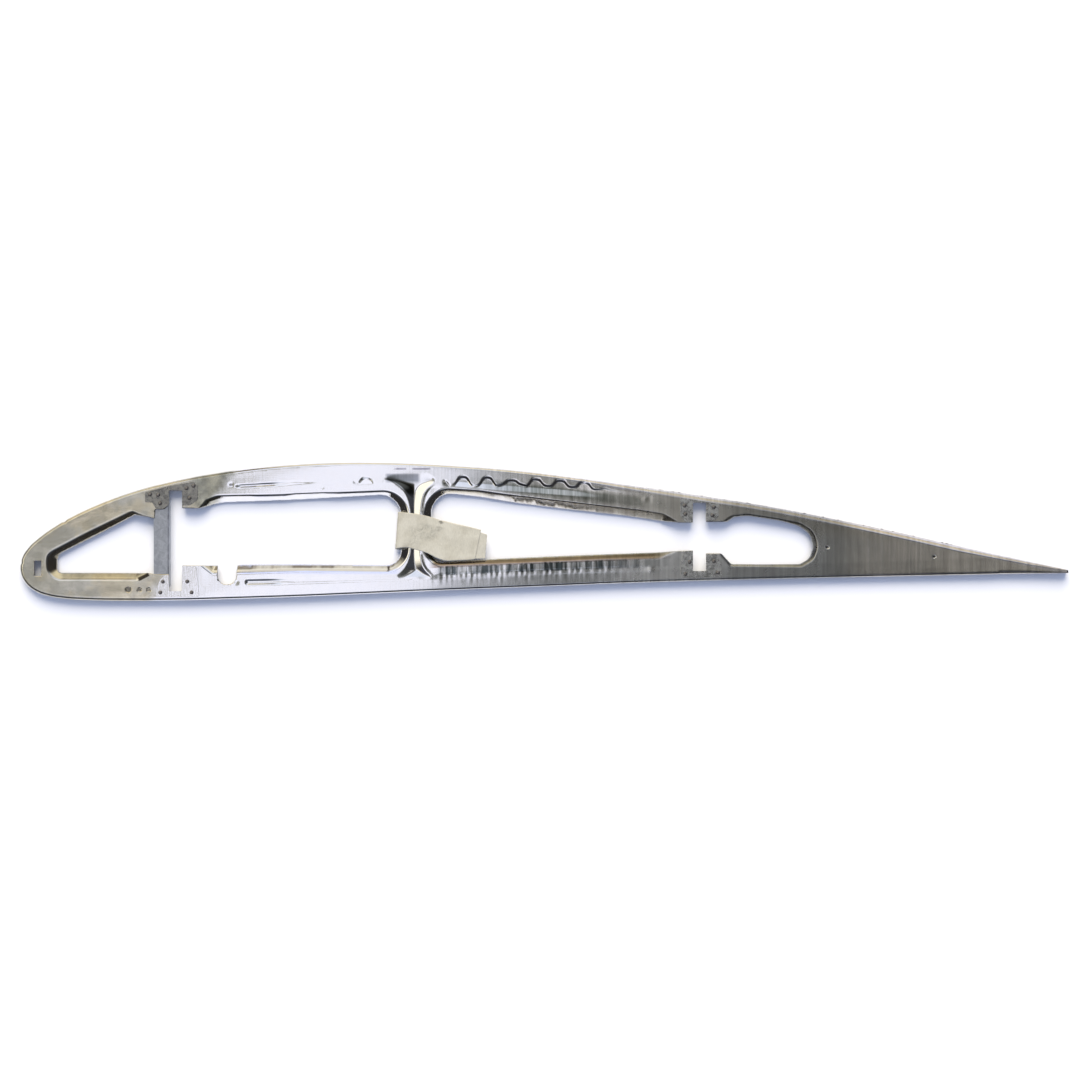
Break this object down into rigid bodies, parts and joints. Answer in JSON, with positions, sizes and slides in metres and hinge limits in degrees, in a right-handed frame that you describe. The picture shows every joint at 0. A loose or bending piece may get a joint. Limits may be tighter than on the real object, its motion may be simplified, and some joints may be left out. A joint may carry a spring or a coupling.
{
  "type": "wing rib",
  "caption": "Pressed sheet-metal wing rib with flanged lightening bays, stiffening beads, riveted slot doublers and open slots for a front and a rear spar.",
  "frame": {"origin": "bottom centre of the bounding box, on the surface that the flange edges stand on", "axes": "+X from the nose to the trailing edge along the chord, +Y towards the upper camber, +Z normal to the web, out of its flat face; the flanges point down"},
  "size_m": [1.524, 0.2019, 0.0181],
  "materials": {
    "pressed_sheet": "mill-finish alloy sheet, grain along the chord, scuffed and lightly oxidised, olive tint towards the nose",
    "doubler_sheet": "brighter alloy sheet, lightly brushed, smudged round the rivets",
    "dull_sheet": "dull blue-grey weathered alloy, matt",
    "rivet": "dark dulled domed rivet heads",
    "masking_tape": "beige crepe masking tape, matt, slightly wrinkled"
  },
  "bodies": {
    "root": {"rib_pressing": "pressed_sheet", "front_upper_doubler": "doubler_sheet", "front_lower_doubler": "doubler_sheet", "rear_upper_doubler": "doubler_sheet", "rear_lower_doubler": "doubler_sheet", "front_post": "dull_sheet", "front_upper_doubler_rivets": "rivet", "front_lower_doubler_rivets": "rivet", "rear_upper_doubler_rivets": "rivet", "rear_lower_doubler_rivets": "rivet", "front_post_rivets": "rivet", "masking_tape_label": "masking_tape"}
  },
  "joints": []
}
